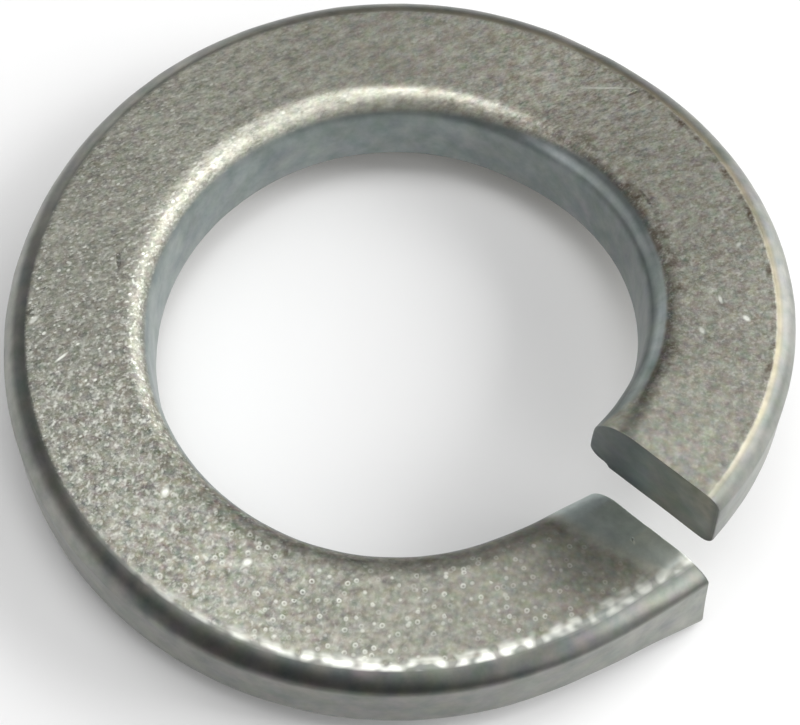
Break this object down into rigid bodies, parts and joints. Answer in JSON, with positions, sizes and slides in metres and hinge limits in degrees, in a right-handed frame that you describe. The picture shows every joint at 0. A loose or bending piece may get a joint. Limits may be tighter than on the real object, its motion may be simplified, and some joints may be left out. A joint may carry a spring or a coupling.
{
  "type": "spring lock washer",
  "caption": "Split spring lock washer: one sprung turn of flat steel wire with rounded edges, cut across and set so that its two ends stand apart.",
  "frame": {"origin": "on the bore's axis, at the height of the washer's lowest point, the foot of its lower cut end", "axes": "+Z along the bore's axis, up towards the bolt's head or nut; the cut lies 41 degrees from +X towards -Y; the coil climbs clockwise seen from +Z"},
  "size_m": [0.0326, 0.0326, 0.01],
  "materials": {
    "zinc_coated_steel": "zinc-coated spring steel, satin grey with a fine grain and small bright crystals"
  },
  "bodies": {
    "root": {"spring_washer": "zinc_coated_steel"}
  },
  "joints": []
}
